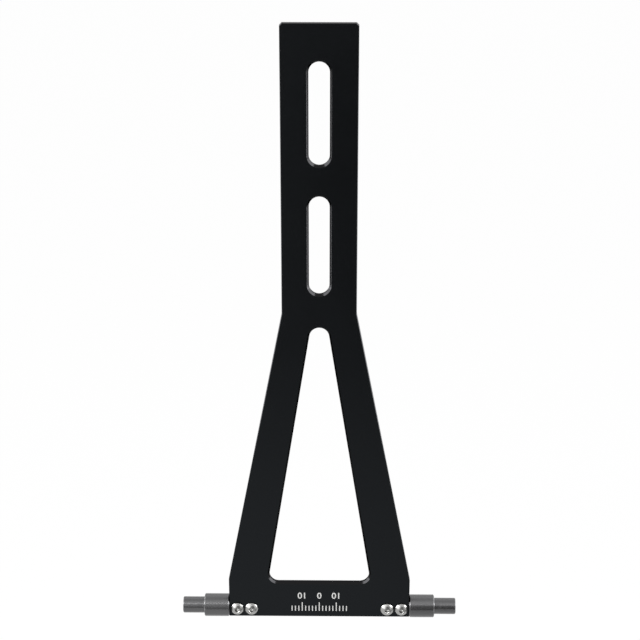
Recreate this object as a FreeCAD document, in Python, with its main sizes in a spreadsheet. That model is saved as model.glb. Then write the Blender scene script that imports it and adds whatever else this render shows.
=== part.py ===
"""Arm of a bicycle wheel truing stand: a flat slotted plate carried on two stub axles.

Frame: millimetres, +Z up along the arm, +X to the right along the axle line, -Y to the front.
The origin is the middle of the axle line, which lies in the plane of the plate's rear face.
"""
import FreeCAD, Part
import math
import os
import Sketcher

doc = FreeCAD.newDocument("TruingStandArm")

# ---------------------------------------------------------------- driving dimensions
# Heights are measured up from the axle line, which is Z = 0.
SIZES = [
    ("plate_thickness", 4.0, "plate stock"),
    ("bottom_margin", 1.45, "plate left below the screw heads"),
    ("neck_width", 41.2, "width of the straight upper part"),
    ("neck_base_height", 185.6, "height where the neck splits into the two legs"),
    ("foot_height", 19.4, "height where the legs meet the straight foot sides"),
    ("top_margin", 19.9, "plate left above the upper slot"),
    ("top_corner_cut", 1.2, "corner cut at the top of the neck"),
    ("edge_break", 0.3, "break on the outer edges"),
    ("slot_width", 11.2, "width of the two long slots"),
    ("slot_length", 55.5, "slot, end to end"),
    ("slot_spacing", 17.1, "plate left between the two slots"),
    ("window_spacing", 19.55, "plate left between the window and the lower slot"),
    ("window_bottom_height", 17.5, "height of the window's lower edge"),
    ("window_top_height", 177.2, "height of the window's rounded top"),
    ("window_top_radius", 5.5, "radius at the top of the window"),
    ("window_corner_radius", 5.4, "radius of the window's two lower corners"),
    ("window_corner_spacing", 47.3, "centre to centre of the lower corner radii"),
    ("opening_chamfer", 1.1, "chamfer round the slots and the window, both faces"),
    ("shoulder_span", 135.0, "stub axles, shoulder to shoulder"),
    ("shoulder_length", 14.6, "side of the foot to the shoulder"),
    ("tip_diameter", 9.5, "stub axle, tip"),
    ("shoulder_step", 1.9, "step from the tip up to the thick part, on the radius"),
    ("tip_length", 12.7, "stub axle tip, shoulder to end"),
    ("tip_chamfer", 0.4, "chamfer at the end of the tip"),
    ("root_radius", 0.5, "radius where the tip meets the shoulder"),
    ("shoulder_chamfer", 0.4, "chamfer on the shoulder's outer rim"),
    ("seat_chamfer", 0.7, "chamfer on the rim beside the plate"),
    ("tang_margin", 6.0, "inner screw to the inner end of the half-round tang"),
    ("tang_chamfer", 0.5, "chamfer at the inner end of the tang"),
    ("head_side_gap", 0.8, "outer screw head to the side of the foot"),
    ("head_gap", 0.8, "between the two screw heads of a pair"),
    ("screw_diameter", 4.0, "screw shank over the thread"),
    ("plate_hole_clearance", 0.15, "screw shank to the hole in the plate, on the radius"),
    ("thread_clearance", 0.05, "screw shank to tapped hole, on the radius"),
    ("screw_end_recess", 0.65, "screw end below the back of the tang"),
    ("screw_end_chamfer", 0.5, "chamfer at the screw's end"),
    ("head_diameter", 7.6, "button head across"),
    ("head_height", 2.2, "button head height"),
    ("head_rim_height", 0.75, "straight rim under the dome"),
    ("socket_width", 2.5, "hex socket across flats"),
    ("socket_land", 0.3, "flat land round the socket's corners"),
    ("socket_depth", 1.4, "hex socket depth"),
]

sheet = doc.addObject("Spreadsheet::Sheet", "sizes")
for row, (alias, value, meaning) in enumerate(SIZES, start=1):
    sheet.set("A%d" % row, meaning)
    sheet.set("B%d" % row, str(value))
    sheet.setAlias("B%d" % row, alias)
doc.recompute()


def size(alias):
    """Value of a cell of the sheet."""
    return sheet.get(alias)


# Places and sizes that the pieces share: the expression binds them, the number draws them.
BOTTOM_DEPTH = "(sizes.head_diameter / 2 + sizes.bottom_margin)"
bottom_depth = size("head_diameter") / 2 + size("bottom_margin")
LOWER_SLOT = "(sizes.window_top_height + sizes.window_spacing + sizes.slot_length / 2)"
lower_slot = size("window_top_height") + size("window_spacing") + size("slot_length") / 2
SLOT_PITCH = "(sizes.slot_length + sizes.slot_spacing)"
slot_pitch = size("slot_length") + size("slot_spacing")
TOP_HEIGHT = "(" + LOWER_SLOT + " + " + SLOT_PITCH + " + sizes.slot_length / 2 + sizes.top_margin)"
top_height = lower_slot + slot_pitch + size("slot_length") / 2 + size("top_margin")
SHOULDER = "sizes.shoulder_span / 2"
shoulder = size("shoulder_span") / 2
HALF_FOOT = "(" + SHOULDER + " - sizes.shoulder_length)"
half_foot = shoulder - size("shoulder_length")
OUTER_SCREW = "(" + HALF_FOOT + " - sizes.head_side_gap - sizes.head_diameter / 2)"
outer_screw = half_foot - size("head_side_gap") - size("head_diameter") / 2
INNER_SCREW = "(" + OUTER_SCREW + " - sizes.head_diameter - sizes.head_gap)"
inner_screw = outer_screw - size("head_diameter") - size("head_gap")
TANG_END = "(" + INNER_SCREW + " - sizes.tang_margin)"
tang_end = inner_screw - size("tang_margin")
BAR_RADIUS = "(sizes.tip_diameter / 2 + sizes.shoulder_step)"
bar_radius = size("tip_diameter") / 2 + size("shoulder_step")
PLATE_HOLE_RADIUS = "(sizes.screw_diameter / 2 + sizes.plate_hole_clearance)"
plate_hole_radius = size("screw_diameter") / 2 + size("plate_hole_clearance")
TAPPED_RADIUS = "(sizes.screw_diameter / 2 + sizes.thread_clearance)"
tapped_radius = size("screw_diameter") / 2 + size("thread_clearance")
SCREW_LENGTH = "(sizes.plate_thickness + " + BAR_RADIUS + " - sizes.screw_end_recess)"
screw_length = size("plate_thickness") + bar_radius - size("screw_end_recess")
SOCKET_CORNER = "(sizes.socket_width / sqrt(3))"
socket_corner = size("socket_width") / math.sqrt(3)

# How close two lengths must be to count as one, and the least volume that a cut removes.
TOLERANCE = 0.001
LEAST_CUT = 0.01


# ---------------------------------------------------------------- helpers
def new_body(name):
    body = doc.addObject("PartDesign::Body", name)
    body.Label = name
    return body


def new_sketch(body, plane, name):
    """Empty sketch on one of the body's own origin planes."""
    sketch = body.newObject("Sketcher::SketchObject", name)
    support = [f for f in body.Origin.OriginFeatures if f.Role == plane][0]
    sketch.AttachmentSupport = [(support, "")]
    sketch.MapMode = "FlatFace"
    return sketch


def draw_polygon(sketch, points):
    """Closed run of lines through the points, joined end to end; line k starts at point k."""
    corners = [FreeCAD.Vector(x, y, 0) for x, y in points]
    lines = []
    for start, end in zip(corners, corners[1:] + corners[:1]):
        lines.append(sketch.addGeometry(Part.LineSegment(start, end), False))
    for line, following in zip(lines, lines[1:] + lines[:1]):
        sketch.addConstraint(Sketcher.Constraint("Coincident", line, 2, following, 1))
    return lines


def bind(sketch, name, expression, kind, *where):
    """Add a driving constraint and bind it to the sheet."""
    index = sketch.addConstraint(Sketcher.Constraint(kind, *where))
    sketch.renameConstraint(index, name)
    sketch.setExpression("Constraints." + name, expression)


def right_of_axis(sketch, name, expression, element, point, start):
    bind(sketch, name, expression, "DistanceX", -1, 1, element, point, start)


def above_axis(sketch, name, expression, element, point, start):
    bind(sketch, name, expression, "DistanceY", -1, 1, element, point, start)


def below_axis(sketch, name, expression, element, point, start):
    bind(sketch, name, expression, "DistanceY", element, point, -1, 1, start)


def flat_lines(sketch, horizontal=(), vertical=()):
    for line in horizontal:
        sketch.addConstraint(Sketcher.Constraint("Horizontal", line))
    for line in vertical:
        sketch.addConstraint(Sketcher.Constraint("Vertical", line))


def edges_where(feature, test):
    """Names of the feature's edges that pass the test."""
    return ["Edge%d" % k for k, edge in enumerate(feature.Shape.Edges, start=1) if test(edge)]


def flat_face(shape, axis, target):
    """Largest face lying in the plane where the coordinate is the target."""
    faces = [f for f in shape.Faces if lies_at(f, axis, target)]
    return max(faces, key=lambda f: f.Area)


def rim_edges(feature, face, outer):
    """Names of the edges on the face's outer wire, or on its openings."""
    rim = face.OuterWire.Edges
    if not outer:
        rim = [e for e in face.Edges if not any(e.isSame(r) for r in rim)]
    return edges_where(feature, lambda edge: any(edge.isSame(r) for r in rim))


def near(value, target):
    return abs(value - target) < TOLERANCE


def lies_at(piece, axis, target):
    """True if the whole edge or face lies in the plane where the coordinate is the target."""
    low = getattr(piece.BoundBox, axis + "Min")
    high = getattr(piece.BoundBox, axis + "Max")
    return near(low, target) and near(high, target)


def dress(body, kind, name, expression, names):
    """Fillet or chamfer on the named edges of the body's tip."""
    base = body.Tip
    if not names:
        raise RuntimeError(name + ": no edge found")
    feature = body.newObject("PartDesign::" + kind, name)
    feature.Base = (base, names)
    feature.setExpression("Radius" if kind == "Fillet" else "Size", expression)
    doc.recompute()
    return feature


def cut(body, sketch, name, **settings):
    """Pocket made from a sketch; stops if it removes nothing."""
    before = body.Tip.Shape.Volume
    pocket = body.newObject("PartDesign::Pocket", name)
    pocket.Profile = sketch
    for key, value in settings.items():
        setattr(pocket, key, value)
    doc.recompute()
    if pocket.Shape.Volume > before - LEAST_CUT:
        raise RuntimeError(name + ": the cut removes nothing")
    return pocket


# ---------------------------------------------------------------- the plate
def plate_outline(body):
    """Straight neck, two legs that spread from it, and a straight-sided foot."""
    half_neck = size("neck_width") / 2
    fork = size("neck_base_height")
    foot = size("foot_height")
    sketch = new_sketch(body, "XZ_Plane", "plate_outline")
    right = [(half_foot, -bottom_depth), (half_foot, foot), (half_neck, fork),
             (half_neck, top_height)]
    left = [(-x, z) for x, z in reversed(right)]
    lines = draw_polygon(sketch, right + left)
    flat_lines(sketch, vertical=(lines[0], lines[2]))
    for k in range(4):
        mirror = Sketcher.Constraint("Symmetric", lines[k], 1, lines[7 - k], 1, -2)
        sketch.addConstraint(mirror)
    right_of_axis(sketch, "half_foot", HALF_FOOT, lines[0], 1, half_foot)
    right_of_axis(sketch, "half_neck", "sizes.neck_width / 2", lines[2], 1, half_neck)
    below_axis(sketch, "bottom", BOTTOM_DEPTH, lines[0], 1, bottom_depth)
    above_axis(sketch, "foot", "sizes.foot_height", lines[1], 1, foot)
    above_axis(sketch, "fork", "sizes.neck_base_height", lines[2], 1, fork)
    above_axis(sketch, "top", TOP_HEIGHT, lines[3], 1, top_height)
    return sketch


def draw_slot(sketch, expressions, radius, low, high):
    """Upright slot with round ends, on the vertical axis, bound to the three expressions."""
    ends = []
    for centre, sense in ((high, 1), (low, -1)):
        middle = FreeCAD.Vector(0, centre + sense * radius, 0)
        start = FreeCAD.Vector(sense * radius, centre, 0)
        stop = FreeCAD.Vector(-sense * radius, centre, 0)
        ends.append(sketch.addGeometry(Part.Arc(start, middle, stop), False))
    sides = []
    for x, start, stop in ((-radius, high, low), (radius, low, high)):
        line = Part.LineSegment(FreeCAD.Vector(x, start, 0), FreeCAD.Vector(x, stop, 0))
        sides.append(sketch.addGeometry(line, False))
    joins = [(ends[0], 2, sides[0], 1), (sides[0], 2, ends[1], 1),
             (ends[1], 2, sides[1], 1), (sides[1], 2, ends[0], 1)]
    for join in joins:
        sketch.addConstraint(Sketcher.Constraint("Tangent", *join))
    for end in ends:
        sketch.addConstraint(Sketcher.Constraint("PointOnObject", end, 3, -2))
    bind(sketch, "end_radius", expressions[0], "Radius", ends[0], radius)
    above_axis(sketch, "low_centre", expressions[1], ends[1], 3, low)
    above_axis(sketch, "high_centre", expressions[2], ends[0], 3, high)


def window_outline(body):
    """Tall triangle with a rounded top and two rounded lower corners."""
    top_radius = size("window_top_radius")
    corner_radius = size("window_corner_radius")
    floor = size("window_bottom_height")
    top_centre = FreeCAD.Vector(0, size("window_top_height") - top_radius, 0)
    corner_centre = FreeCAD.Vector(size("window_corner_spacing") / 2, floor + corner_radius, 0)
    # The side touches both circles, so their centres lie along its normal by the difference
    # of the two radii.
    run = corner_centre - top_centre
    slope = math.acos((top_radius - corner_radius) / run.Length) + math.atan2(run.y, run.x)
    outward = FreeCAD.Vector(math.cos(slope), math.sin(slope), 0)
    side_top = top_centre + outward * top_radius
    side_end = corner_centre + outward * corner_radius
    floor_end = corner_centre - FreeCAD.Vector(0, corner_radius, 0)

    def mirrored(point):
        return FreeCAD.Vector(-point.x, point.y, 0)

    def corner_arc(start, centre, end):
        middle = (start - centre) + (end - centre)
        return Part.Arc(start, centre + middle.normalize() * corner_radius, end)

    sketch = new_sketch(body, "XZ_Plane", "window_outline")
    top_point = top_centre + FreeCAD.Vector(0, top_radius, 0)
    shapes = [
        Part.Arc(side_top, top_point, mirrored(side_top)),
        Part.LineSegment(mirrored(side_top), mirrored(side_end)),
        corner_arc(mirrored(side_end), mirrored(corner_centre), mirrored(floor_end)),
        Part.LineSegment(mirrored(floor_end), floor_end),
        corner_arc(floor_end, corner_centre, side_end),
        Part.LineSegment(side_end, side_top),
    ]
    rim = [sketch.addGeometry(shape, False) for shape in shapes]
    for piece, following in zip(rim, rim[1:] + rim[:1]):
        sketch.addConstraint(Sketcher.Constraint("Tangent", piece, 2, following, 1))
    top_arc, left_corner, floor_line, right_corner = rim[0], rim[2], rim[3], rim[4]
    sketch.addConstraint(Sketcher.Constraint("PointOnObject", top_arc, 3, -2))
    sketch.addConstraint(Sketcher.Constraint("Symmetric", left_corner, 3, right_corner, 3, -2))
    bind(sketch, "top_radius", "sizes.window_top_radius", "Radius", top_arc, top_radius)
    for name, corner in (("left_radius", left_corner), ("right_radius", right_corner)):
        bind(sketch, name, "sizes.window_corner_radius", "Radius", corner, corner_radius)
    right_of_axis(sketch, "corner_centre", "sizes.window_corner_spacing / 2", right_corner, 3,
                  corner_centre.x)
    above_axis(sketch, "top_centre", "sizes.window_top_height - sizes.window_top_radius",
               top_arc, 3, top_centre.y)
    above_axis(sketch, "floor", "sizes.window_bottom_height", floor_line, 2, floor)
    return sketch


def screw_holes(body, name, radius_name, radius, places):
    """Round holes on the axle line; each place is (name, expression, x)."""
    sketch = new_sketch(body, "XZ_Plane", name)
    for place, expression, x in places:
        circle = Part.Circle(FreeCAD.Vector(x, 0, 0), FreeCAD.Vector(0, 0, 1), radius)
        hole = sketch.addGeometry(circle, False)
        sketch.addConstraint(Sketcher.Constraint("PointOnObject", hole, 3, -1))
        bind(sketch, place + "_radius", radius_name, "Radius", hole, radius)
        if x > 0:
            right_of_axis(sketch, place, expression, hole, 3, x)
        else:
            bind(sketch, place, expression, "DistanceX", hole, 3, -1, 1, -x)
    return sketch


def make_plate():
    body = new_body("arm_plate")
    front = -size("plate_thickness")
    pad = body.newObject("PartDesign::Pad", "plate_blank")
    pad.Profile = plate_outline(body)
    pad.setExpression("Length", "sizes.plate_thickness")
    doc.recompute()

    cut(body, window_outline(body), "window", Type="ThroughAll", Reversed=True)

    radius = size("slot_width") / 2
    reach = (size("slot_length") - size("slot_width")) / 2
    half_run = "(sizes.slot_length - sizes.slot_width) / 2"
    sketch = new_sketch(body, "XZ_Plane", "slot_outline")
    draw_slot(sketch, ("sizes.slot_width / 2", LOWER_SLOT + " - " + half_run,
                       LOWER_SLOT + " + " + half_run),
              radius, lower_slot - reach, lower_slot + reach)
    slot = cut(body, sketch, "lower_slot", Type="ThroughAll", Reversed=True)
    slots = body.newObject("PartDesign::LinearPattern", "both_slots")
    slots.Originals = [slot]
    slots.Direction = (sketch, ["V_Axis"])
    slots.Occurrences = 2
    slots.setExpression("Length", SLOT_PITCH)
    body.Tip = slots
    doc.recompute()

    half_neck = size("neck_width") / 2

    def top_corner(edge):
        middle = edge.CenterOfMass
        return (near(abs(middle.x), half_neck) and near(middle.z, top_height)
                and near(middle.y, front / 2))

    dress(body, "Chamfer", "top_corners", "sizes.top_corner_cut",
          edges_where(body.Tip, top_corner))
    for outer, name, expression in ((True, "outer_edges", "sizes.edge_break"),
                                    (False, "opening_edges", "sizes.opening_chamfer")):
        names = []
        for plane in (0, front):
            face = flat_face(body.Tip.Shape, "Y", plane)
            names += rim_edges(body.Tip, face, outer)
        dress(body, "Chamfer", name, expression, names)

    places = [
        ("left_outer", OUTER_SCREW, -outer_screw),
        ("left_inner", INNER_SCREW, -inner_screw),
        ("right_inner", INNER_SCREW, inner_screw),
        ("right_outer", OUTER_SCREW, outer_screw),
    ]
    holes = screw_holes(body, "screw_hole_layout", PLATE_HOLE_RADIUS, plate_hole_radius, places)
    cut(body, holes, "screw_holes", Type="ThroughAll", Reversed=True)
    return body


# ---------------------------------------------------------------- the stub axles
def make_stub(name, turned):
    """Turned pin whose inner end is milled to a half-round tang behind the plate.

    Both stubs are the same piece; the left one is the right one turned half round.
    """
    body = new_body(name)
    end = shoulder + size("tip_length")
    thin = size("tip_diameter") / 2

    sketch = new_sketch(body, "XZ_Plane", "stub_profile")
    points = [(tang_end, 0), (end, 0), (end, thin), (shoulder, thin), (shoulder, bar_radius),
              (tang_end, bar_radius)]
    lines = draw_polygon(sketch, points)
    flat_lines(sketch, horizontal=(lines[2], lines[4]), vertical=(lines[1], lines[3], lines[5]))
    for point in (lines[0], lines[1]):
        sketch.addConstraint(Sketcher.Constraint("PointOnObject", point, 1, -1))
    right_of_axis(sketch, "inner_end", TANG_END, lines[0], 1, tang_end)
    right_of_axis(sketch, "tip_end", SHOULDER + " + sizes.tip_length", lines[1], 1, end)
    right_of_axis(sketch, "shoulder", SHOULDER, lines[3], 1, shoulder)
    above_axis(sketch, "tip_radius", "sizes.tip_diameter / 2", lines[2], 1, thin)
    above_axis(sketch, "bar_radius", BAR_RADIUS, lines[4], 1, bar_radius)
    turning = body.newObject("PartDesign::Revolution", "turned_blank")
    turning.Profile = sketch
    turning.ReferenceAxis = (sketch, ["H_Axis"])
    turning.Angle = 360
    doc.recompute()

    def circle_at(x, radius):
        def test(edge):
            return (lies_at(edge, "X", x) and isinstance(edge.Curve, Part.Circle)
                    and near(edge.Curve.Radius, radius))
        return edges_where(body.Tip, test)

    dress(body, "Fillet", "tip_root", "sizes.root_radius", circle_at(shoulder, thin))
    dress(body, "Chamfer", "shoulder_rim", "sizes.shoulder_chamfer", circle_at(shoulder, bar_radius))
    dress(body, "Chamfer", "tip_point", "sizes.tip_chamfer", circle_at(end, thin))
    dress(body, "Chamfer", "tang_end", "sizes.tang_chamfer", circle_at(tang_end, bar_radius))

    # The flat lies on the axle line, so the tang is half the bar and the step at its outer
    # end stops against the side of the plate's foot.
    sketch = new_sketch(body, "XY_Plane", "tang_flat_outline")
    points = [(tang_end, 0), (tang_end, -bar_radius), (half_foot, -bar_radius), (half_foot, 0)]
    lines = draw_polygon(sketch, points)
    flat_lines(sketch, horizontal=(lines[1], lines[3]), vertical=(lines[0], lines[2]))
    sketch.addConstraint(Sketcher.Constraint("PointOnObject", lines[0], 1, -1))
    right_of_axis(sketch, "inner_end", TANG_END, lines[0], 1, tang_end)
    right_of_axis(sketch, "seat", HALF_FOOT, lines[2], 1, half_foot)
    below_axis(sketch, "bar_front", BAR_RADIUS, lines[1], 1, bar_radius)
    flat = cut(body, sketch, "tang_flat", Midplane=True, Length=2 * bar_radius)
    flat.setExpression("Length", "2 * " + BAR_RADIUS)
    doc.recompute()

    # The rim of that step is bevelled round the front half, where the plate's side meets it.
    sketch = new_sketch(body, "XZ_Plane", "seat_rim_outline")
    bevel = size("seat_chamfer")
    points = [(half_foot, bar_radius - bevel), (half_foot + bevel, bar_radius),
              (half_foot, bar_radius)]
    lines = draw_polygon(sketch, points)
    flat_lines(sketch, horizontal=(lines[1],), vertical=(lines[2],))
    right_of_axis(sketch, "seat", HALF_FOOT, lines[2], 1, half_foot)
    right_of_axis(sketch, "bevel_end", HALF_FOOT + " + sizes.seat_chamfer", lines[1], 1,
                  half_foot + bevel)
    above_axis(sketch, "bar_radius", BAR_RADIUS, lines[2], 1, bar_radius)
    above_axis(sketch, "bevel_foot", BAR_RADIUS + " - sizes.seat_chamfer", lines[0], 1,
               bar_radius - bevel)
    before = body.Tip.Shape.Volume
    rim = body.newObject("PartDesign::Groove", "seat_rim")
    rim.Profile = sketch
    rim.ReferenceAxis = (sketch, ["H_Axis"])
    rim.Angle = 180
    doc.recompute()
    if rim.Shape.Volume > before - LEAST_CUT:
        raise RuntimeError("seat_rim: the bevel removes nothing")

    places = [("outer", OUTER_SCREW, outer_screw), ("inner", INNER_SCREW, inner_screw)]
    holes = screw_holes(body, "tapped_hole_layout", TAPPED_RADIUS, tapped_radius, places)
    cut(body, holes, "tapped_holes", Type="ThroughAll", Midplane=True)
    if turned:
        body.Placement.Rotation = FreeCAD.Rotation(FreeCAD.Vector(0, 1, 0), 180)
    return body


# ---------------------------------------------------------------- the screws
def screw_profile(body):
    """Half of a button head screw: the head in front of the plate, the shank behind."""
    head = size("head_diameter") / 2
    land = socket_corner + size("socket_land")
    height = size("head_height")
    rim = size("head_rim_height")
    shank = size("screw_diameter") / 2
    bevel = size("screw_end_chamfer")
    # The dome is part of a sphere centred on the screw's axis.
    centre = (head ** 2 - land ** 2 + rim ** 2 - height ** 2) / (2 * (rim - height))
    dome = math.hypot(head, rim - centre)
    half_height = (rim + height) / 2
    middle = math.sqrt(dome ** 2 - (half_height - centre) ** 2)

    sketch = new_sketch(body, "XY_Plane", "screw_profile")

    def line(start, stop):
        segment = Part.LineSegment(FreeCAD.Vector(*start), FreeCAD.Vector(*stop))
        return sketch.addGeometry(segment, False)

    arc = sketch.addGeometry(Part.Arc(FreeCAD.Vector(head, -rim, 0),
                                      FreeCAD.Vector(middle, -half_height, 0),
                                      FreeCAD.Vector(land, -height, 0)), False)
    corners = [(land, -height), (0, -height), (0, screw_length), (shank - bevel, screw_length),
               (shank, screw_length - bevel), (shank, 0), (head, 0), (head, -rim)]
    lines = [line(a, b) for a, b in zip(corners, corners[1:])]
    for first, second in zip(lines, lines[1:]):
        sketch.addConstraint(Sketcher.Constraint("Coincident", first, 2, second, 1))
    # An arc runs anticlockwise in a sketch, so its ends are told apart by where they lie.
    rim_end = 1 if near(sketch.getPoint(arc, 1).y, -rim) else 2
    sketch.addConstraint(Sketcher.Constraint("Coincident", lines[-1], 2, arc, rim_end))
    sketch.addConstraint(Sketcher.Constraint("Coincident", lines[0], 1, arc, 3 - rim_end))
    land_line, axis_line, end_line, _, shank_line, seat_line, rim_line = lines
    flat_lines(sketch, horizontal=(land_line, end_line), vertical=(shank_line, rim_line))
    for edge, end, axis in ((axis_line, 1, -2), (axis_line, 2, -2), (arc, 3, -2),
                            (seat_line, 1, -1), (seat_line, 2, -1)):
        sketch.addConstraint(Sketcher.Constraint("PointOnObject", edge, end, axis))
    right_of_axis(sketch, "head_radius", "sizes.head_diameter / 2", seat_line, 2, head)
    right_of_axis(sketch, "land_radius", SOCKET_CORNER + " + sizes.socket_land", land_line, 1,
                  land)
    right_of_axis(sketch, "shank_radius", "sizes.screw_diameter / 2", seat_line, 1, shank)
    right_of_axis(sketch, "end_radius", "sizes.screw_diameter / 2 - sizes.screw_end_chamfer",
                  end_line, 2, shank - bevel)
    below_axis(sketch, "head_height", "sizes.head_height", axis_line, 1, height)
    below_axis(sketch, "rim_height", "sizes.head_rim_height", rim_line, 2, rim)
    above_axis(sketch, "length", SCREW_LENGTH, axis_line, 2, screw_length)
    above_axis(sketch, "full_shank", SCREW_LENGTH + " - sizes.screw_end_chamfer",
               shank_line, 1, screw_length - bevel)
    return sketch


def socket_outline(body):
    """Hexagon on the head's land, with one corner on the horizontal axis."""
    sketch = new_sketch(body, "XZ_Plane", "socket_outline")
    sketch.setExpression("AttachmentOffset.Base.z", "sizes.head_height")
    turns = [math.radians(60 * k) for k in range(6)]
    sides = draw_polygon(sketch, [(socket_corner * math.cos(turn), socket_corner * math.sin(turn))
                                  for turn in turns])
    circle = Part.Circle(FreeCAD.Vector(), FreeCAD.Vector(0, 0, 1), socket_corner)
    ring = sketch.addGeometry(circle, True)
    sketch.addConstraint(Sketcher.Constraint("Coincident", ring, 3, -1, 1))
    sketch.addConstraint(Sketcher.Constraint("PointOnObject", sides[0], 1, -1))
    for side in sides:
        sketch.addConstraint(Sketcher.Constraint("PointOnObject", side, 1, ring))
    for side in sides[1:]:
        sketch.addConstraint(Sketcher.Constraint("Equal", sides[0], side))
    bind(sketch, "corner_radius", SOCKET_CORNER, "Radius", ring, socket_corner)
    return sketch


def make_screw(name, side, place):
    """Button head screw under whose head the plate's front face lies."""
    body = new_body(name)
    sketch = screw_profile(body)
    turning = body.newObject("PartDesign::Revolution", "turned_screw")
    turning.Profile = sketch
    turning.ReferenceAxis = (sketch, ["V_Axis"])
    turning.Angle = 360
    doc.recompute()
    socket = cut(body, socket_outline(body), "hex_socket", Length=size("socket_depth"))
    socket.setExpression("Length", "sizes.socket_depth")
    body.setExpression("Placement.Base.x", "%d * %s" % (side, place))
    body.setExpression("Placement.Base.y", "-sizes.plate_thickness")
    return body


# ---------------------------------------------------------------- the assembly
pieces = [make_plate(), make_stub("right_stub_axle", False), make_stub("left_stub_axle", True)]
for side_name, side in (("left", -1), ("right", 1)):
    for place_name, place in (("outer", OUTER_SCREW), ("inner", INNER_SCREW)):
        pieces.append(make_screw("%s_%s_screw" % (side_name, place_name), side, place))
doc.recompute()

for item in doc.Objects:
    if "Invalid" in item.State or "Error" in item.State:
        raise RuntimeError("%s failed: %s" % (item.Name, item.State))
for piece in pieces:
    shape = piece.Shape
    if shape.isNull() or not shape.isValid() or len(shape.Solids) != 1:
        raise RuntimeError(piece.Label + " isn't one valid solid")

os.makedirs("parts", exist_ok=True)
for piece in pieces:
    piece.Shape.exportStep(os.path.join("parts", piece.Label + ".step"))
    print("%-20s %9.1f mm3" % (piece.Label, piece.Shape.Volume))
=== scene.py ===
# %% [markdown]
# # The arm of a bicycle wheel truing stand
#
# The tool is one flat plate of black anodised aluminium. Its straight neck has two long slots,
# its legs spread round a tall window, and a stepped steel pin is screwed to each side of its
# foot. The CAD model holds the exact sizes, so the plate is shown just as it comes. The pins are
# copies whose edges are eased, because bare steel shows every sharp corner as a hard line. The
# screws are modelled again at their CAD places, with a smooth dome and a real hex socket.

# %% Load the frame
import math

import bmesh
import bpy
from mathutils import Matrix, Vector


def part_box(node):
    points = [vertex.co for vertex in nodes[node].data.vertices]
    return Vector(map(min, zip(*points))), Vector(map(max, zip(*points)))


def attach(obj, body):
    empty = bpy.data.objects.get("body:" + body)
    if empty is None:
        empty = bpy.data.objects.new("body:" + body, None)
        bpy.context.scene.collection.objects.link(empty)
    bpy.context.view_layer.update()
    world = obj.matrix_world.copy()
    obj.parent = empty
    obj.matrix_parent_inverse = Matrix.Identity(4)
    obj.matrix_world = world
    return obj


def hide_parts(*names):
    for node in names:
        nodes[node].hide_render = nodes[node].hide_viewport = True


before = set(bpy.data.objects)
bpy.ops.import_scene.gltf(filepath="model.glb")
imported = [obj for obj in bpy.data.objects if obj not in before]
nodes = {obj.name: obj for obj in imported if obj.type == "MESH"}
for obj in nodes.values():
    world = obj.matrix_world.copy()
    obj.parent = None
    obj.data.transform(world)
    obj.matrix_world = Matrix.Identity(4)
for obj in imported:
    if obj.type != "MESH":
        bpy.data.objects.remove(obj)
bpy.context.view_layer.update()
MM = 0.001
print("nodes:", sorted(nodes))

# %% [markdown]
# ## The camera
#
# A product camera stands well back with a long lens, so that straight edges stay nearly
# parallel. It looks down at the upright plate, which makes the window and the slots look a
# little shorter than they are. The camera is placed from the point that it looks at, because
# a distance and two angles are easier to think about than a bare position.

# %% Place the camera
LENS_MM = 90.0
SENSOR_WIDTH_MM = 36.0
AIM = Vector((0.44, -4.0, 182.2)) * MM
DISTANCE = 876.7 * MM
TILT = math.radians(21.07)
SWING = math.radians(0.65)

to_camera = Vector((math.sin(SWING) * math.cos(TILT),
                    -math.cos(SWING) * math.cos(TILT),
                    math.sin(TILT)))
camera_data = bpy.data.cameras.new("camera")
camera_data.lens = LENS_MM
camera_data.sensor_width = SENSOR_WIDTH_MM
camera = bpy.data.objects.new("camera", camera_data)
camera.location = AIM + to_camera * DISTANCE
camera.rotation_euler = to_camera.to_track_quat("Z", "Y").to_euler()
bpy.context.scene.collection.objects.link(camera)
bpy.context.scene.camera = camera
print("camera at", [round(v, 4) for v in camera.location])

# %% [markdown]
# ## Colours and nodes
#
# Colours are written as the hex values that a paint program shows. Blender works in linear
# light, so one function turns them. A second function adds a shader node with its settings and
# its links, which keeps each material short enough to read. A third starts an empty material.

# %% Helpers for materials
def linear(hex_colour):
    """Linear RGBA of an sRGB hex colour."""
    channels = [int(hex_colour[k:k + 2], 16) / 255 for k in (1, 3, 5)]
    light = [c / 12.92 if c <= 0.04045 else ((c + 0.055) / 1.055) ** 2.4 for c in channels]
    return light + [1.0]


def add_node(tree, kind, settings=None, links=None):
    """Add a node; settings are its properties or socket values, links are its inputs."""
    node = tree.nodes.new("ShaderNode" + kind)
    for name, value in (settings or {}).items():
        if isinstance(name, int) or name in node.inputs:
            node.inputs[name].default_value = value
        else:
            setattr(node, name, value)
    for name, source in (links or {}).items():
        tree.links.new(source, node.inputs[name])
    return node


def new_material(name):
    """Empty node material and its tree."""
    material = bpy.data.materials.new(name)
    material.use_nodes = True
    material.node_tree.nodes.clear()
    return material, material.node_tree


print("white #FFFFFF in linear light:", linear("#FFFFFF")[:3])

# %% [markdown]
# ## White surroundings
#
# The tool is shown on plain white. A bright world alone would do that, but it would flood the
# black plate with light, and no shadow could fall. So the world and a floor of white paper look
# pure white to the camera and to mirror-like rays, while light that bounces softly sees how
# bright they really are.

# %% The world
AMBIENT = 0.40


def sees_background(tree):
    """1 for camera, glossy and transmission rays, else 0."""
    path = add_node(tree, "LightPath")
    first = add_node(tree, "Math", {"operation": "MAXIMUM"})
    tree.links.new(path.outputs["Is Camera Ray"], first.inputs[0])
    tree.links.new(path.outputs["Is Glossy Ray"], first.inputs[1])
    second = add_node(tree, "Math", {"operation": "MAXIMUM"})
    tree.links.new(first.outputs["Value"], second.inputs[0])
    tree.links.new(path.outputs["Is Transmission Ray"], second.inputs[1])
    return second.outputs["Value"]


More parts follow.
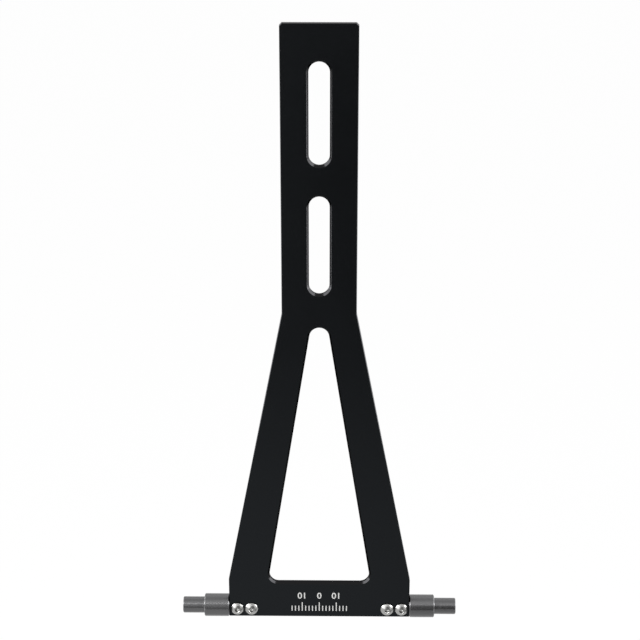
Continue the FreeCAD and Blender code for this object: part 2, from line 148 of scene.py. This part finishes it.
world = bpy.data.worlds.new("white_studio")
world.use_nodes = True
bpy.context.scene.world = world
tree = world.node_tree
tree.nodes.clear()
soft = add_node(tree, "Background", {"Color": linear("#FFFFFF"), "Strength": AMBIENT})
shown = add_node(tree, "Background", {"Color": linear("#FFFFFF"), "Strength": 1.0})
mix = add_node(tree, "MixShader", links={"Fac": sees_background(tree)})
tree.links.new(soft.outputs["Background"], mix.inputs[1])
tree.links.new(shown.outputs["Background"], mix.inputs[2])
add_node(tree, "OutputWorld", links={"Surface": mix.outputs["Shader"]})
print("soft light from all round:", AMBIENT, "of white")

# %% [markdown]
# ## The floor
#
# The floor could be a shadow catcher, but that leaves a hole to be filled with white later. A
# large sheet of paper that glows white needs no second step. The camera sees mostly its glow,
# and the small share of real paper that is left lets a trace of the shadow through.

# %% The floor
FLOOR_DROP = 0.26
FLOOR_SIZE = 12.0
SHADOW_SHARE = 0.02

paper, tree = new_material("matt_white_studio_paper")
sheet = add_node(tree, "BsdfDiffuse", {"Color": linear("#F4F4F4")})
glow = add_node(tree, "Emission", {"Color": linear("#FFFFFF"), "Strength": 1.0})
share = add_node(tree, "Math", {"operation": "MULTIPLY", 1: 1.0 - SHADOW_SHARE},
                 {0: sees_background(tree)})
mix = add_node(tree, "MixShader", links={"Fac": share.outputs["Value"]})
tree.links.new(sheet.outputs["BSDF"], mix.inputs[1])
tree.links.new(glow.outputs["Emission"], mix.inputs[2])
add_node(tree, "OutputMaterial", links={"Surface": mix.outputs["Shader"]})

shape = bmesh.new()
bmesh.ops.create_grid(shape, x_segments=1, y_segments=1, size=FLOOR_SIZE / 2,
                      matrix=Matrix.Translation((0, 0, -FLOOR_DROP)))
floor_mesh = bpy.data.meshes.new("floor")
shape.to_mesh(floor_mesh)
shape.free()
floor_mesh.materials.append(paper)
floor = bpy.data.objects.new("floor", floor_mesh)
bpy.context.scene.collection.objects.link(floor)
print("floor", FLOOR_DROP, "m below the axle line")

# %% [markdown]
# ## Light linking
#
# A dark shiny thing shows what stands round it more than its own colour. Its black bevels need
# far more light than bright steel can take before it turns plain white. Dimmer lamps or a paler
# black would each spoil one of the two. Light linking says what a lamp may light. Two groups
# are made here, and both hold the plate: the first lets a lamp light nothing but the plate, and
# the second keeps a lamp off it.

# %% Two light groups
def light_group(name, state):
    """Collection that has a lamp light the plate alone, or everything else."""
    group = bpy.data.collections.new(name)
    group.objects.link(nodes["arm_plate"])
    group.collection_objects[0].light_linking.link_state = state
    return group


plate_alone = light_group("plate_alone", "INCLUDE")
all_but_plate = light_group("all_but_plate", "EXCLUDE")
print("light groups:", plate_alone.name, "and", all_but_plate.name)

# %% [markdown]
# ## Soft boxes
#
# A soft box is a lamp behind a large white cloth, and an area lamp is just that. A small one in
# front on the left and a thin strip above it draw the long highlights on the pins. Each side
# has two boxes for the plate's bevels and walls, one for the steel, and a low one further back
# for the narrow chamfers of the pins. One behind each side lights the back. A few bright points
# would give the same power, but a wide soft source is what makes a calm highlight on metal.

# %% Place the soft boxes
def soft_box(name, turn, rise, width, height, radiance, distance=1.0, lights=None):
    """Area lamp that faces the foot, turn degrees right of the front and rise degrees up.

    Sizes are in metres, a radiance of 1 is as bright as white paper looks, and the lamp's
    power follows from its radiance and its area.
    """
    turn, rise = math.radians(turn), math.radians(rise)
    direction = Vector((math.sin(turn) * math.cos(rise), -math.cos(turn) * math.cos(rise),
                        math.sin(rise)))
    data = bpy.data.lights.new(name, "AREA")
    data.shape = "RECTANGLE"
    data.size = width
    data.size_y = height
    data.energy = radiance * math.pi * width * height
    lamp = bpy.data.objects.new(name, data)
    lamp.location = direction * distance
    lamp.rotation_euler = direction.to_track_quat("Z", "Y").to_euler()
    bpy.context.scene.collection.objects.link(lamp)
    lamp.light_linking.receiver_collection = lights
    print(name, "power", round(data.energy, 2), "W")


soft_box("front_left_soft_box", -42, 16, 0.30, 0.29, 2.1, 0.5)
soft_box("upper_left_strip", -29, 42, 0.55, 0.07, 5.6)
for side, name, radiance in ((-1, "left", 15.0), (1, "right", 12.5)):
    soft_box(name + "_soft_box", 76 * side, 27, 0.34, 0.62, radiance, lights=all_but_plate)
    soft_box(name + "_wide_soft_box", 67 * side, 31, 0.69, 1.20, 9.0, 1.1, plate_alone)
    soft_box(name + "_low_soft_box", 90 * side, 12, 0.25, 0.24, 12.0, 0.5, plate_alone)
    soft_box(name + "_edge_soft_box", 112 * side, -8, 0.36, 0.38, 3.3, 0.5, all_but_plate)
    soft_box(name + "_rear_soft_box", 140 * side, 40, 0.50, 0.30, 2.0)

# %% [markdown]
# ## Grey paper to mirror
#
# The plate's flat front mirrors what lies before it. At the foot that is the white floor, and
# higher up it is a sweep of grey paper, which keeps the neck a deeper black. A card of the same
# paper lies in front on the right, and the lower half of the right pin mirrors it. Darkening
# the materials instead would look wrong as soon as the tool or the camera moved.

# %% The sweep and the card
SWEEP_LEFT, SWEEP_RIGHT = -0.30, 1.20
SWEEP_NEAR, SWEEP_FAR = 0.80, 1.60
SWEEP_RISE = 1.3
SWEEP_LIFT = 0.01
CARD_WIDTH, CARD_DEPTH = 0.60, 0.48
CARD_RIGHT, CARD_FRONT = 0.43, 0.36

grey_paper, tree = new_material("matt_grey_studio_paper")
paper_face = add_node(tree, "BsdfDiffuse", {"Color": linear("#8A8A8A")})
add_node(tree, "OutputMaterial", links={"Surface": paper_face.outputs["BSDF"]})

shape = bmesh.new()
bottom = SWEEP_LIFT - FLOOR_DROP
corners = [(SWEEP_LEFT, -SWEEP_NEAR, bottom), (SWEEP_LEFT, -SWEEP_FAR, bottom),
           (SWEEP_LEFT, -SWEEP_FAR, bottom + SWEEP_RISE)]
edge = [shape.verts.new(corner) for corner in corners]
line = [shape.edges.new(pair) for pair in zip(edge, edge[1:])]
drawn = bmesh.ops.extrude_edge_only(shape, edges=line)["geom"]
bmesh.ops.translate(shape, vec=(SWEEP_RIGHT - SWEEP_LEFT, 0, 0),
                    verts=[g for g in drawn if isinstance(g, bmesh.types.BMVert)])
card = bmesh.ops.create_grid(shape, x_segments=1, y_segments=1, size=0.5)["verts"]
bmesh.ops.scale(shape, vec=(CARD_WIDTH, CARD_DEPTH, 1), verts=card)
bmesh.ops.translate(shape, vec=(CARD_RIGHT, -CARD_FRONT, bottom), verts=card)
sweep_mesh = bpy.data.meshes.new("grey_sweep")
shape.to_mesh(sweep_mesh)
shape.free()
sweep_mesh.materials.append(grey_paper)
sweep = bpy.data.objects.new("grey_sweep", sweep_mesh)
sweep.visible_camera = False
sweep.visible_diffuse = False
sweep.visible_shadow = False
bpy.context.scene.collection.objects.link(sweep)
print("grey paper:", len(sweep_mesh.polygons), "faces")

# %% [markdown]
# ## Black anodised aluminium
#
# The plate is cut from aluminium sheet, bead blasted and dyed black in its oxide layer. That
# gives a satin metal which is nearly black straight on and picks up lamps as soft streaks.
# Fine blasting grit leaves a grain of about 0.1 mm; it is drawn at 0.4 mm so that it shows.
# The dye bath leaves faint clouds in the gloss, about 40 mm across. A cutter made the bevels
# and the walls between the two faces after the blasting, so they are smoother and draw sharper
# lines. Depth alone tells them apart: they lie between the faces. An image could carry all of
# this, but noise that is sized in millimetres fits any view and needs no file.

# %% The plate's finish
BLAST_GRAIN = 0.4 * MM
GRAIN_STRENGTH = 0.08
BUMP_DEPTH = 0.05 * MM
CLOUD_SIZE = 40 * MM
SATIN_LOW, SATIN_HIGH = 0.28, 0.355
MILLED_ROUGHNESS = 0.17
HALF_PLATE = 2.0 * MM
FACE_SKIN = 0.01 * MM

anodised, tree = new_material("black_anodised_aluminium")
place = add_node(tree, "TexCoord").outputs["Object"]
grain = add_node(tree, "TexNoise", {"Scale": 1 / BLAST_GRAIN, "Detail": 2.0}, {"Vector": place})
bump = add_node(tree, "Bump", {"Strength": GRAIN_STRENGTH, "Distance": BUMP_DEPTH},
                {"Height": grain.outputs["Fac"]})
clouds = add_node(tree, "TexNoise", {"Scale": 1 / CLOUD_SIZE, "Detail": 3.0}, {"Vector": place})
satin = add_node(tree, "MapRange", {"To Min": SATIN_LOW, "To Max": SATIN_HIGH},
                 {"Value": clouds.outputs["Fac"]})
depth = add_node(tree, "SeparateXYZ", links={"Vector": place})
milled = add_node(tree, "Math", {"operation": "COMPARE", 1: -HALF_PLATE,
                                 2: HALF_PLATE - FACE_SKIN}, {0: depth.outputs["Y"]})
gloss = add_node(tree, "MapRange", {"To Max": MILLED_ROUGHNESS},
                 {"Value": milled.outputs["Value"], "To Min": satin.outputs["Result"]})
tone = add_node(tree, "MixRGB", {"Color1": linear("#222426"), "Color2": linear("#222223")},
                {"Fac": milled.outputs["Value"]})
surface = add_node(tree, "BsdfPrincipled", {"Metallic": 1.0, "Specular Tint": linear("#BCBCBC")},
                   {"Base Color": tone.outputs["Color"], "Roughness": gloss.outputs["Result"],
                    "Normal": bump.outputs["Normal"]})
add_node(tree, "OutputMaterial", links={"Surface": surface.outputs["BSDF"]})
nodes["arm_plate"].data.materials.clear()
nodes["arm_plate"].data.materials.append(anodised)
print("plate:", len(nodes["arm_plate"].data.polygons), "triangles")

# %% [markdown]
# ## Turned steel
#
# The pins are turned on a lathe from dark grey plated bar. The tool leaves fine rings round the
# bar, 0.1 mm apart, which stretch a highlight along the pin. They are drawn 0.35 mm apart, so
# that they still show. The rings follow X, the pin's own axis, and hardly change round it. Cut
# into the mesh they would need a great many faces, so a bump and an anisotropic shader, whose
# highlight is longer one way than the other, stand in for them.

# %% The pins' finish
RING_SPACING = 0.35 * MM
RING_STRENGTH = 0.12
ROUND_THE_BAR = 30 * MM
TURNED_SMOOTH, TURNED_ROUGH = 0.24, 0.36
STRETCH = 0.75
QUARTER_TURN = 0.25

turned, tree = new_material("turned_plated_steel")
place = add_node(tree, "TexCoord").outputs["Object"]
stretch = add_node(tree, "Mapping",
                   {"Scale": (1 / RING_SPACING, 1 / ROUND_THE_BAR, 1 / ROUND_THE_BAR)},
                   {"Vector": place})
rings = add_node(tree, "TexNoise", {"Scale": 1.0, "Detail": 1.0},
                 {"Vector": stretch.outputs["Vector"]})
bump = add_node(tree, "Bump", {"Strength": RING_STRENGTH, "Distance": BUMP_DEPTH},
                {"Height": rings.outputs["Fac"]})
gloss = add_node(tree, "MapRange", {"To Min": TURNED_SMOOTH, "To Max": TURNED_ROUGH},
                 {"Value": rings.outputs["Fac"]})
along = add_node(tree, "Tangent", {"direction_type": "RADIAL", "axis": "X"})
surface = add_node(tree, "BsdfPrincipled",
                   {"Base Color": linear("#636364"), "Metallic": 1.0, "Anisotropic": STRETCH,
                    "Anisotropic Rotation": QUARTER_TURN},
                   {"Roughness": gloss.outputs["Result"], "Normal": bump.outputs["Normal"],
                    "Tangent": along.outputs["Tangent"]})
add_node(tree, "OutputMaterial", links={"Surface": surface.outputs["BSDF"]})
print("rings", round(RING_SPACING / MM, 2), "mm apart")

# %% [markdown]
# ## The pins
#
# The CAD model already holds the pin's steps, its flat tang and its tapped holes. Its mesh is
# loose triangles, though, and metal shows every facet. The pin could be spun again from half of
# its outline, but then the tang and the holes would have to be cut again too. So a copy of the
# mesh is merged, its flat faces are joined up, and each sharp edge gets the small round that a
# file or tumbling leaves. Weighted normals then keep the flat faces flat beside their rounds.

# %% Make a piece of a finished shape
def show(name, shape, material, replaced=None):
    """Make the finished shape a piece that rides on the frame's one body."""
    mesh = bpy.data.meshes.new(name)
    shape.to_mesh(mesh)
    shape.free()
    mesh.materials.append(material)
    piece = bpy.data.objects.new(name, mesh)
    bpy.context.scene.collection.objects.link(piece)
    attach(piece, "root")
    if replaced:
        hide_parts(replaced)
    print(name, len(mesh.polygons), "faces")
    return piece


# %% Ease the pins' edges
PIN_EDGE = 0.12 * MM
SHARP = math.radians(28)
FLAT = math.radians(0.4)
MERGE = 0.002 * MM
LARGE_FACES_FIRST = 100


def smooth_faces(shape):
    """Shade every face smooth."""
    for face in shape.faces:
        face.smooth = True


def eased_copy(node_name, edge):
    """Copy of a CAD node's mesh, merged, with rounded edges."""
    shape = bmesh.new()
    shape.from_mesh(nodes[node_name].data)
    bmesh.ops.remove_doubles(shape, verts=shape.verts, dist=MERGE)
    bmesh.ops.dissolve_limit(shape, angle_limit=FLAT, verts=shape.verts, edges=shape.edges)
    corners = [e for e in shape.edges if e.is_manifold and e.calc_face_angle() > SHARP]
    bmesh.ops.bevel(shape, geom=corners, offset=edge, affect="EDGES", segments=2, profile=0.5,
                    material=-1, clamp_overlap=True)
    smooth_faces(shape)
    return shape


for node_name in ("left_stub_axle", "right_stub_axle"):
    pin = show(node_name + "_turned", eased_copy(node_name, PIN_EDGE), turned,
               node_name)
    weights = pin.modifiers.new("flat_faces", "WEIGHTED_NORMAL")
    weights.weight = LARGE_FACES_FIRST

# %% [markdown]
# ## Stainless steel
#
# The screws are cold headed from stainless wire and left bright. That is a light, slightly warm
# metal, smooth enough to mirror a lamp. Pressing leaves a faint unevenness, about 0.8 mm across
# and far too shallow to model, so noise gives it to the bump and to the roughness.

# %% The screws' finish
PRESS_MARKS = 0.8 * MM
PRESS_STRENGTH = 0.10
BRIGHT_SMOOTH, BRIGHT_ROUGH = 0.18, 0.30

bright, tree = new_material("bright_stainless_steel")
place = add_node(tree, "TexCoord").outputs["Object"]
marks = add_node(tree, "TexNoise", {"Scale": 1 / PRESS_MARKS, "Detail": 3.0}, {"Vector": place})
bump = add_node(tree, "Bump", {"Strength": PRESS_STRENGTH, "Distance": BUMP_DEPTH},
                {"Height": marks.outputs["Fac"]})
gloss = add_node(tree, "MapRange", {"To Min": BRIGHT_SMOOTH, "To Max": BRIGHT_ROUGH},
                 {"Value": marks.outputs["Fac"]})
surface = add_node(tree, "BsdfPrincipled", {"Base Color": linear("#A3A3A1"), "Metallic": 1.0},
                   {"Roughness": gloss.outputs["Result"], "Normal": bump.outputs["Normal"]})
add_node(tree, "OutputMaterial", links={"Surface": surface.outputs["BSDF"]})
print("press marks", round(PRESS_MARKS / MM, 2), "mm across")

# %% [markdown]
# ## Button head screws
#
# The CAD screws would do from afar, but their domes are made of flat triangles, and bright
# steel shows that. A screw is round, so half of its outline is drawn once and spun round its
# axis. From the tip it runs up the shank, out under the head, round the rim's soft edge and over
# the dome to the flat land round the socket.

# %% The screw's outline
SHANK = 2.0 * MM
SHANK_END = 0.5 * MM
RIM_HEIGHT = 0.75 * MM
RIM_EDGE = 0.10 * MM
DOME_POINTS = 12
plate_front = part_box("arm_plate")[0].y


def dome_points(head, rim, land, top, count):
    """Arc from the rim's edge to the land, on a sphere centred on the screw's axis."""
    centre = (head ** 2 - land ** 2 + rim ** 2 - top ** 2) / (2 * (rim - top))
    radius = math.hypot(head, rim - centre)
    first = math.atan2(rim - centre, head)
    last = math.atan2(top - centre, land)
    turns = [first + (last - first) * k / (count - 1) for k in range(count)]
    return [(radius * math.cos(t), centre + radius * math.sin(t)) for t in turns]


def screw_outline(head, land, top, tip):
    """Radius and Y of each point of half the outline, from the tip to the socket's land."""
    outline = [(0, tip), (SHANK - SHANK_END, tip), (SHANK, tip - SHANK_END),
               (SHANK, plate_front), (head - RIM_EDGE, plate_front),
               (head, plate_front - RIM_EDGE)]
    dome = dome_points(head, RIM_HEIGHT, land, top, DOME_POINTS)
    return outline + [(r, plate_front - up) for r, up in dome]


print("plate's front at y =", round(plate_front / MM, 3), "mm")

# %% [markdown]
# ## The hex socket
#
# Only the socket isn't round. A boolean could cut it, but would leave long thin faces in the
# smooth dome. Here its mouth is a hexagon with as many points as the spun rim, so that the two
# can be bridged, and its walls are drawn out of that mouth. The socket was drilled before the
# hexagon was pressed in, so it ends in the shallow cone that a drill leaves.

# %% A hexagon to bridge to the rim
TURNS = 72


def hexagon(shape, radius, y, twist):
    """Edges of a hexagon with as many points as the spun rim."""
    turn = (Matrix.Translation((0, y, 0)) @ Matrix.Rotation(math.radians(90), 4, "X")
            @ Matrix.Rotation(twist, 4, "Z"))
    made = bmesh.ops.create_circle(shape, cap_ends=False, radius=radius, segments=6,
                                   matrix=turn)["verts"]
    edges = list(dict.fromkeys(e for v in made for e in v.link_edges))
    parts = bmesh.ops.subdivide_edges(shape, edges=edges, cuts=TURNS // 6 - 1)
    return [e for e in parts["geom"] if isinstance(e, bmesh.types.BMEdge) and e.is_wire]


print("rim and hexagon:", TURNS, "points each")

# %% Draw the socket out of its mouth
SOCKET_WIDTH = 2.5 * MM
SOCKET_DEPTH = 1.4 * MM
SOCKET_MOUTH = 0.12 * MM
DRILL_SHARE = 0.92
DRILL_RADIUS = DRILL_SHARE * SOCKET_WIDTH / 2
DRILL_SLOPE = math.radians(31)
CONE_END = 0.02


def draw_socket(shape, mouth, corner):
    """Draw the socket's mouth, walls, floor and cone out of its edges; corner is its radius."""
    steps = [(corner / (corner + SOCKET_MOUTH), SOCKET_MOUTH),
             (1.0, SOCKET_DEPTH - SOCKET_MOUTH), (DRILL_RADIUS / corner, 0),
             (CONE_END, DRILL_RADIUS * math.tan(DRILL_SLOPE))]
    above = mouth
    for shrink, down in steps:
        drawn = bmesh.ops.extrude_edge_only(shape, edges=above)["geom"]
        moved = [g for g in drawn if isinstance(g, bmesh.types.BMVert)]
        bmesh.ops.scale(shape, vec=(shrink, 1, shrink), verts=moved)
        bmesh.ops.translate(shape, vec=(0, down, 0), verts=moved)
        if down == 0:
            # The flat floor leads from the hexagon to the round hole of the drill.
            for rounded in moved:
                across = math.hypot(rounded.co.x, rounded.co.z)
                rounded.co.x *= DRILL_RADIUS / across
                rounded.co.z *= DRILL_RADIUS / across
        above = [g for g in drawn if isinstance(g, bmesh.types.BMEdge)]
    bmesh.ops.holes_fill(shape, edges=above, sides=0)


print("socket", round(SOCKET_WIDTH / MM, 2), "mm across its flats")

# %% [markdown]
# ## Four screws
#
# Each screw takes its place and its head's size from its CAD node. No two screws stop at the
# same turn when they are tightened, so each is made anew with its own turn of the socket
# instead of being copied. The spin operator makes the right shape but puts its points in
# another order on every run, so they are sorted by place at the end. The mesh that is written
# is then the same each time.

# %% Make the four screws
LAND = 0.3 * MM
TWISTS = {"left_outer_screw": 12, "left_inner_screw": 40, "right_inner_screw": 5,
          "right_outer_screw": 27}


def in_fixed_order(shape):
    """Sort vertices, edges and faces by place, because spin makes them in no fixed order."""
    ranks = {v: k for k, v in enumerate(sorted(shape.verts, key=lambda v: v.co[:]))}
    shape.verts.sort(key=ranks.get)
    shape.verts.index_update()
    for parts in (shape.edges, shape.faces):
        order = sorted(parts, key=lambda part: sorted(v.index for v in part.verts))
        ranks = {part: k for k, part in enumerate(order)}
        parts.sort(key=ranks.get)


def screw_shape(node_name, twist):
    """Button head screw at its CAD node's place, with its socket turned by twist."""
    low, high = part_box(node_name)
    axis = Vector(((low.x + high.x) / 2, 0, (low.z + high.z) / 2))
    corner = SOCKET_WIDTH / math.sqrt(3)
    outline = screw_outline((high.x - low.x) / 2, corner + LAND, plate_front - low.y, high.y)

    shape = bmesh.new()
    points = [shape.verts.new((r, y, 0)) for r, y in outline]
    line = [shape.edges.new(pair) for pair in zip(points, points[1:])]
    bmesh.ops.spin(shape, geom=points + line, cent=(0, 0, 0), axis=(0, 1, 0),
                   angle=2 * math.pi, steps=TURNS, use_merge=True)
    bmesh.ops.remove_doubles(shape, verts=shape.verts, dist=MERGE)
    rim = [e for e in shape.edges if e.is_boundary]
    mouth = hexagon(shape, corner + SOCKET_MOUTH, low.y, twist)
    bmesh.ops.bridge_loops(shape, edges=rim + mouth)
    draw_socket(shape, mouth, corner)
    bmesh.ops.recalc_face_normals(shape, faces=shape.faces)
    bmesh.ops.translate(shape, vec=axis, verts=shape.verts)
    smooth_faces(shape)
    for edge in shape.edges:
        edge.smooth = not (edge.is_manifold and edge.calc_face_angle() > SHARP)
    in_fixed_order(shape)
    return shape


for node_name, degrees in TWISTS.items():
    show(node_name + "_button_head", screw_shape(node_name, math.radians(degrees)), bright,
         node_name)

# %% [markdown]
# ## A centre scale
#
# The foot carries a small laser marked scale, which shows how far the rim stands from the
# middle. The laser bleaches the dye and leaves matt pale grey lines with a little speckle of
# the blasted grain. To paint them, the plate's material would need a pattern for each line and
# figure, so they are thin solids. A few hundredths of a millimetre keep them clear of the plate.

# %% The marks' finish
MARK_ROUGHNESS = 0.7

marked, tree = new_material("laser_marked_anodising")
place = add_node(tree, "TexCoord").outputs["Object"]
speck = add_node(tree, "TexNoise", {"Scale": 1 / BLAST_GRAIN, "Detail": 2.0}, {"Vector": place})
tone = add_node(tree, "MixRGB", {"Color1": linear("#B2B2B0"), "Color2": linear("#C8C8C6")},
                {"Fac": speck.outputs["Fac"]})
surface = add_node(tree, "BsdfPrincipled", {"Roughness": MARK_ROUGHNESS},
                   {"Base Color": tone.outputs["Color"]})
add_node(tree, "OutputMaterial", links={"Surface": surface.outputs["BSDF"]})
print("marks' roughness", MARK_ROUGHNESS)

# %% Lines of the scale
MARK_HEIGHT = 0.03 * MM
TICK_SPACING = 2.0 * MM
TICKS_EACH_SIDE = 8
TICKS_TO_A_LONG_ONE = 5
LINE_WIDTH = 0.6 * MM
TICK_FOOT = -1.4 * MM
LONG_TICK, SHORT_TICK = 5.7 * MM, 3.4 * MM

shape = bmesh.new()
for k in range(-TICKS_EACH_SIDE, TICKS_EACH_SIDE + 1):
    length = SHORT_TICK if k % TICKS_TO_A_LONG_ONE else LONG_TICK
    line = bmesh.ops.create_cube(shape, size=1.0)["verts"]
    bmesh.ops.scale(shape, vec=(LINE_WIDTH, MARK_HEIGHT, length), verts=line)
    bmesh.ops.translate(shape, vec=(k * TICK_SPACING, plate_front - MARK_HEIGHT / 2,
                                    TICK_FOOT + length / 2), verts=line)
show("centre_scale_lines", shape, marked)

# %% [markdown]
# ## The scale's figures
#
# Figures drawn point by point would take long and look uneven, so they are text in Blender's
# own typeface, made a mesh because a mesh can carry its place in itself. They stand on their
# heads, to be read from the other end of the arm.

# %% Figures of the scale
FIGURE_HEIGHT = 3.9 * MM
FIGURE_FOOT = 6.8 * MM
FIGURES = {-10: "10", 0: "0", 10: "10"}
CAPITAL_SHARE = 0.7
BOLDER = 0.08 * MM
UPRIGHT = Matrix.Rotation(math.radians(90), 4, "X")
TURNED_OVER = Matrix.Rotation(math.radians(180), 4, "Y")

for place_mm, words in FIGURES.items():
    text = bpy.data.curves.new("figure", "FONT")
    text.body = words
    text.align_x = "CENTER"
    text.size = FIGURE_HEIGHT / CAPITAL_SHARE
    text.extrude = MARK_HEIGHT / 2
    text.offset = BOLDER
    draft = bpy.data.objects.new("figure", text)
    bpy.context.scene.collection.objects.link(draft)
    bpy.context.view_layer.update()
    mesh = bpy.data.meshes.new_from_object(draft)
    bpy.data.objects.remove(draft)
    shape = bmesh.new()
    shape.from_mesh(mesh)
    bmesh.ops.remove_doubles(shape, verts=shape.verts, dist=MERGE)
    bmesh.ops.transform(shape, matrix=TURNED_OVER @ UPRIGHT, verts=shape.verts)
    bmesh.ops.translate(shape, vec=(place_mm * MM, plate_front - MARK_HEIGHT / 2,
                                    FIGURE_FOOT + FIGURE_HEIGHT), verts=shape.verts)
    show("centre_scale_figure_%d" % (place_mm + 10), shape, marked)

# %% [markdown]
# ## Colour handling
#
# The Standard view shows each colour as it was written.

# %% Finish
bpy.context.scene.view_settings.view_transform = "Standard"
